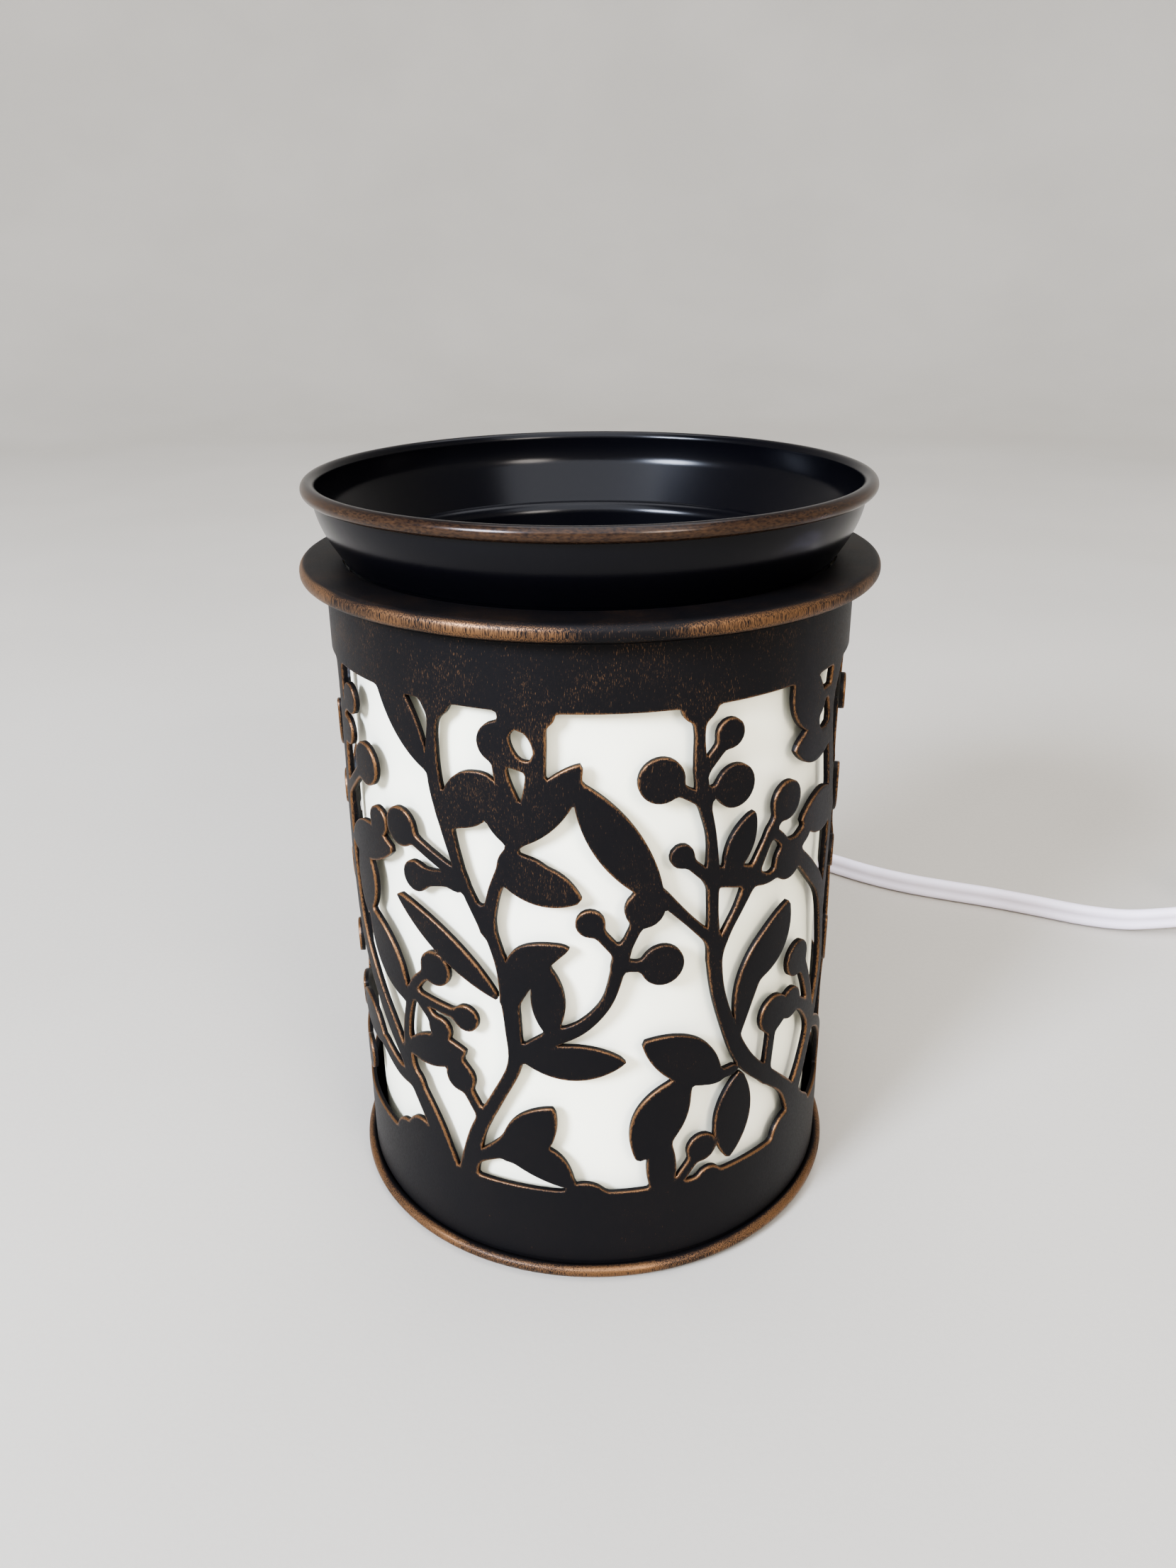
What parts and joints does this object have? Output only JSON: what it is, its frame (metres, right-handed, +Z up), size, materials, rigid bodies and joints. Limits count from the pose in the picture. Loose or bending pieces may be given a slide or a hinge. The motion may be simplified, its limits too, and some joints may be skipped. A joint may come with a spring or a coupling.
{
  "type": "wax warmer",
  "caption": "Round electric wax warmer: pierced leaf-and-vine sleeve over a white glass tube, lift-out dish on a flange, reflector bulb inside, flat cord with thumb-wheel switch and plug.",
  "frame": {"origin": "centre of the round base, on the table", "axes": "+Z up along the sleeve's axis; -Y is the side the picture looks at and +Y is the cord's side"},
  "size_m": [0.3788, 0.1943, 0.15],
  "materials": {
    "dish_enamel": "satin black, glossier inside",
    "rubbed_bronze": "matte near-black with copper rubbed through on edges and beads",
    "white_glass": "opaque matte off-white",
    "rubber": "matte black",
    "plated_steel": "zinc plated",
    "white_ceramic": "unglazed white",
    "brass": "plain brass",
    "mirror_coat": "bright metal coat on glass",
    "clear_glass": "clear, smooth",
    "frosted_glass": "frosted",
    "wire_jacket": "heat-proof wire sleeve",
    "white_pvc": "soft satin white",
    "white_plastic": "moulded white",
    "wheel_plastic": "moulded off-white",
    "tie_band": "soft plastic band"
  },
  "bodies": {
    "case": {"top_flange": "rubbed_bronze", "sleeve": "rubbed_bronze", "diffuser": "white_glass", "base_pan": "rubbed_bronze", "base_feet": "rubber", "lamp_bracket": "plated_steel", "bracket_screws": "plated_steel", "bracket_nuts": "plated_steel", "lamp_holder": "white_ceramic", "holder_screws": "plated_steel", "holder_contacts": "brass", "lead_wires": "wire_jacket", "strain_relief": "white_pvc", "cord_run": "white_pvc", "switch_case_front": "white_plastic", "switch_case_back": "white_plastic", "switch_axle": "plated_steel", "switch_screw": "plated_steel", "cord_link": "white_pvc", "cord_coil": "white_pvc", "coil_ties": "tie_band", "cord_tail": "white_pvc", "plug_body": "white_plastic", "plug_blades": "brass"},
    "dish": {"wax_dish": "dish_enamel"},
    "bulb": {"bulb_base": "white_ceramic", "bulb_pins": "plated_steel", "bulb_reflector": "mirror_coat", "bulb_lens": "clear_glass", "bulb_capsule": "frosted_glass"},
    "wheel": {"switch_wheel": "wheel_plastic"}
  },
  "joints": [
    {"name": "dish_lift", "type": "slide", "parent": "case", "child": "dish", "axis": [0, 0, 1], "range_m": [0, 0.05]},
    {"name": "bulb_turn", "type": "hinge", "parent": "case", "child": "bulb", "pos_m": [0, 0, 0.05], "axis": [0, 0, 1], "range_deg": [0, 45]},
    {"name": "wheel_turn", "type": "hinge", "parent": "case", "child": "wheel", "pos_m": [0.217, 0.084, 0.014], "axis": [0, 1, 0], "continuous": true}
  ]
}
